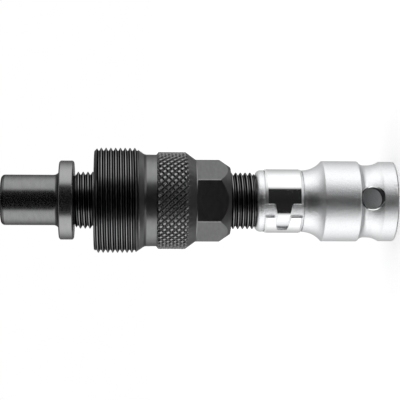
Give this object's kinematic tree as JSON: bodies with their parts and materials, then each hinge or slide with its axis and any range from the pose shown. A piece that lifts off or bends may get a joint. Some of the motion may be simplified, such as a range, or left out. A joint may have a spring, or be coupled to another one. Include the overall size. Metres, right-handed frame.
{
  "type": "bicycle crank puller",
  "caption": "Bicycle crank puller: threaded extractor body with a knurled grip and wrench hex, pusher spindle with a swivel foot, and a pull-off square-drive adapter.",
  "frame": {"origin": "centre of the drive end face, which the tool stands on", "axes": "+Z along the tool's axis from the square drive to the pusher foot; a flat of the wrench hex faces -Y"},
  "size_m": [0.022, 0.022, 0.0823],
  "materials": {
    "body_black": "satin black oxide, turned and knurled",
    "spindle_black": "black oxide, threaded",
    "foot_black": "satin black oxide, turned",
    "spring_wire": "bright spring wire",
    "satin_chrome": "fine-blasted satin chrome",
    "bright_band": "mirror-bright plated sheet",
    "pin_steel": "ground steel"
  },
  "bodies": {
    "extractor": {"extractor_body": "body_black"},
    "pusher_foot": {"foot": "foot_black", "foot_snap_ring": "spring_wire"},
    "screw": {"spindle": "spindle_black"},
    "adapter": {"adapter_body": "satin_chrome", "spring_ring": "bright_band", "retaining_pin": "pin_steel"}
  },
  "joints": [
    {"name": "foot_travel", "type": "slide", "parent": "extractor", "child": "pusher_foot", "axis": [0, 0, 1], "range_m": [-0.0041, 0.00515]},
    {"name": "spindle_turn", "type": "hinge", "parent": "pusher_foot", "child": "screw", "pos_m": [0, 0, 0.0487], "axis": [0, 0, 1], "range_deg": [-1476.5, 1854.5]},
    {"name": "adapter_pull", "type": "slide", "parent": "screw", "child": "adapter", "axis": [0, 0, -1], "range_m": [0, 0.0125]}
  ],
  "couplings": [
    {"joint": "spindle_turn", "follows": "foot_travel", "rad_per_m": 6283.2}
  ]
}
